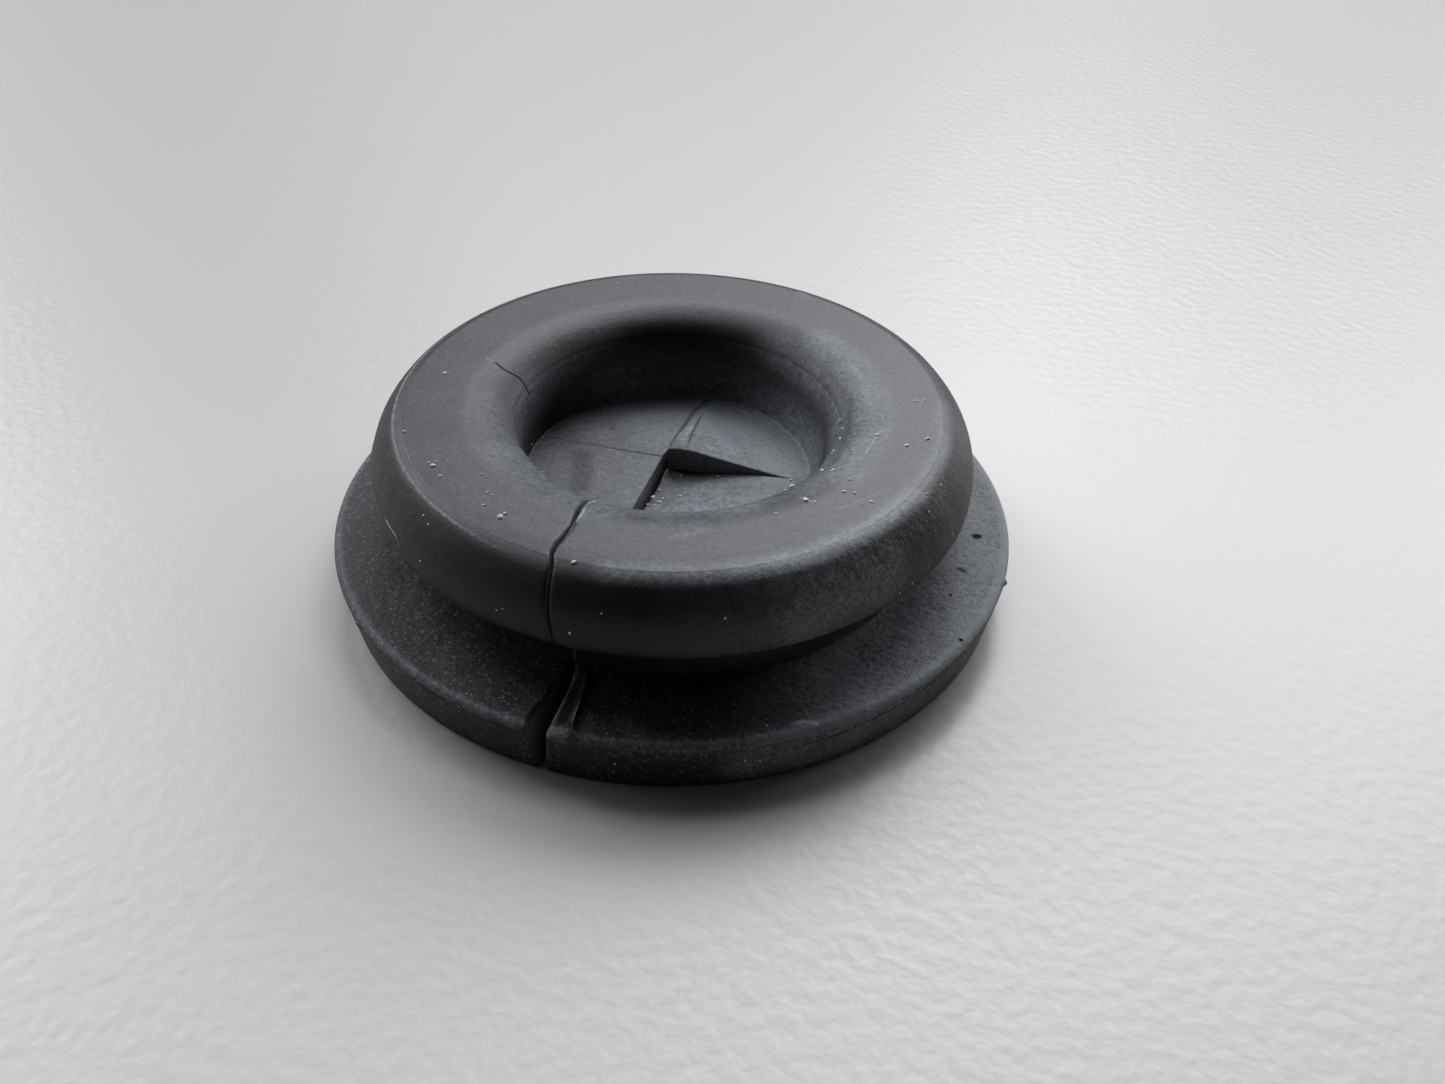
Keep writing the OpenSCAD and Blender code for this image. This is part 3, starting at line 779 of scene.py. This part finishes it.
# painted light on the right side of the head
painted_light_right = add_node(tree, "MapRange", {0: rightness, 1: 0.2, 2: 0.6, 3: 0.0, 4: 0.20})
not_far_right = add_node(tree, "MapRange", {0: rightness, 1: 0.72, 2: 0.92, 3: 1.0, 4: 0.0})
for share in (below_top, outside, not_far_right):
    painted_light_right = add_node(tree, "Math", {0: painted_light_right, 1: share}, operation="MULTIPLY")
for more in (membrane_painted_light, painted_light_right, add_node(tree, "Math", {0: on_flange, 1: 0.06}, operation="MULTIPLY")):
    bloom_and_painted_light = add_node(tree, "Math", {0: bloom_and_painted_light, 1: more}, operation="ADD")
# painted light: on the flange the bloom grows from the left to the right
flange_painted_light = add_node(tree, "MapRange", {0: rightness, 1: 0.45, 2: 0.95, 3: 0.35, 4: 2.9})
flange_painted_light = add_node(tree, "Mix", {"Factor": on_flange, "A": 1.0, "B": flange_painted_light}, "Result")
bloom_and_painted_light = add_node(tree, "Math", {0: bloom_and_painted_light, 1: flange_painted_light}, operation="MULTIPLY")
# the rim's worn upper edge, lighter to the right as a painted highlight
worn_rim_and_light = add_node(tree, "MapRange", {0: radius, 1: 15.5, 2: 15.7, 3: 0.0, 4: 0.9})
for share in (add_node(tree, "MapRange", {0: z, 1: 2.42, 2: 2.52}), flange_painted_light):
    worn_rim_and_light = add_node(tree, "Math", {0: worn_rim_and_light, 1: share}, operation="MULTIPLY")
for more in (worn_rim_and_light, marks_on(tree, mm, BLOOM_AND_LIGHT_FILMS, 0.0)):
    bloom_and_painted_light = add_node(tree, "Math", {0: bloom_and_painted_light, 1: more}, operation="ADD")
for pattern, least, most in ((coarse, 0.6, 1.4), (blotch, 0.7, 1.3)):
    patchy = add_node(tree, "MapRange", {0: pattern, 1: 0.3, 2: 0.7, 3: least, 4: most})
    bloom_and_painted_light = add_node(tree, "Math", {0: bloom_and_painted_light, 1: patchy}, operation="MULTIPLY")
specks = add_node(tree, "MapRange", {0: grit, 1: 0.35, 2: 0.75, 3: 0.5, 4: 2.0})
how_gritty = add_node(tree, "MapRange", {0: gritty, 3: 0.5, 4: 1.0})
specks = add_node(tree, "Mix", {"Factor": how_gritty, "A": 1.0, "B": specks}, "Result")
bloom_and_painted_light = add_node(tree, "Math", {0: bloom_and_painted_light, 1: specks}, operation="MULTIPLY", use_clamp=True)

# colour, roughness and relief, with each depth in mm
tone = add_node(tree, "MapRange", {0: blotch, 1: 0.3, 2: 0.7})
tone = add_node(tree, "Mix", {"Factor": tone, "A": linear("#090a0b"), "B": linear("#131416")}, "Result",
                data_type="RGBA")
for share, code in ((bloom_and_painted_light, "#7b7f84"), (glint, "#7e8286"), (smear_and_highlight, "#b9bdc0"), (crease_and_shadow, "#08090a")):
    tone = add_node(tree, "Mix", {"Factor": share, "A": tone, "B": linear(code)}, "Result", data_type="RGBA")
tree.links.new(tone, shader["Base Color"])

rough = add_node(tree, "MapRange", {0: blotch, 1: 0.25, 2: 0.75, 3: 0.37, 4: 0.45})
for share, more in ((below_top, 0.12), (gritty, 0.06), (smear_and_highlight, 0.25), (crease_and_shadow, 0.40)):
    rough = add_node(tree, "Math", {0: share, 1: more, 2: rough}, operation="MULTIPLY_ADD")
tree.links.new(rough, shader["Roughness"])

relief = add_node(tree, "Bump", {"Height": fine, "Distance": 0.011 * MM})
for share, pattern, depth in ((on_top, rings, 0.004), (gritty, coarse, 0.022), (gritty, grit, 0.012),
                              (gritty, blotch, 0.12), (smear_and_highlight, fine, 0.02), (crease_and_shadow, crease_and_shadow, -0.04)):
    height = add_node(tree, "Math", {0: share, 1: pattern}, operation="MULTIPLY")
    relief = add_node(tree, "Bump", {"Height": height, "Distance": abs(depth) * MM, "Normal": relief},
                      invert=depth < 0)
tree.links.new(relief, shader["Normal"])
shader["Specular IOR Level"].default_value = 0.42
rubber_mesh.materials.append(skin)

# The same rubber where a knife went through, drawn into fine lines along the stroke, 0.1 mm apart. It is lighter,
# partly as fresh-cut rubber is and partly as painted light on faces in shade deep in the bore; the front cut below
# the crossing is painted lighter still.
core, tree, shader = material("knife_cut_rubber")
mm = in_mm(tree)
along = add_node(tree, "VectorMath", {0: mm, 1: (6.0, 6.0, 0.8)}, operation="MULTIPLY")
stroke = add_node(tree, "TexNoise", {"Vector": along, "Scale": 1.6, "Detail": 3.0, "Roughness": 0.6})
speck = add_node(tree, "TexNoise", {"Vector": mm, "Scale": 8.0, "Detail": 2.0})
tone = add_node(tree, "MapRange", {0: stroke, 1: 0.35, 2: 0.65})
tone = add_node(tree, "Mix", {"Factor": tone, "A": linear("#606265"), "B": linear("#76787b")}, "Result",
                data_type="RGBA")
# painted light on the face of the front cut, which lies in shade
front_cut_painted_light = marks_on(tree, mm, [(0.9, 0.8, (-0.9, 0.2, 4.2), (-0.8, -2.6, 4.2))])
tone = add_node(tree, "Mix", {"Factor": front_cut_painted_light, "A": tone, "B": linear("#97999b")}, "Result", data_type="RGBA")
tree.links.new(tone, shader["Base Color"])
tree.links.new(add_node(tree, "MapRange", {0: speck, 1: 0.3, 2: 0.7, 3: 0.38, 4: 0.55}), shader["Roughness"])
relief = add_node(tree, "Bump", {"Height": stroke, "Distance": 0.012 * MM})
relief = add_node(tree, "Bump", {"Height": speck, "Distance": 0.004 * MM, "Normal": relief})
tree.links.new(relief, shader["Normal"])
rubber_mesh.materials.append(core)

# Crumbs of lint and chalk, caught by the rubber: off-white, rough and with no sheen
dust, tree, shader = material("pale_dust")
mm = in_mm(tree)
shade = add_node(tree, "TexNoise", {"Vector": mm, "Scale": 0.8})
shade = add_node(tree, "MapRange", {0: shade, 1: 0.35, 2: 0.65})
tone = add_node(tree, "Mix", {"Factor": shade, "A": linear("#dcdad2"), "B": linear("#eef0f2")}, "Result",
                data_type="RGBA")
tree.links.new(tone, shader["Base Color"])
lump = add_node(tree, "TexNoise", {"Vector": mm, "Scale": 22.0})
tree.links.new(add_node(tree, "MapRange", {0: lump, 1: 0.3, 2: 0.7, 3: 0.7, 4: 0.95}), shader["Roughness"])
tree.links.new(add_node(tree, "Bump", {"Height": lump, "Distance": 0.006 * MM}), shader["Normal"])
rubber_mesh.materials.append(dust)

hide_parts("grommet")
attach(grommet, "root")
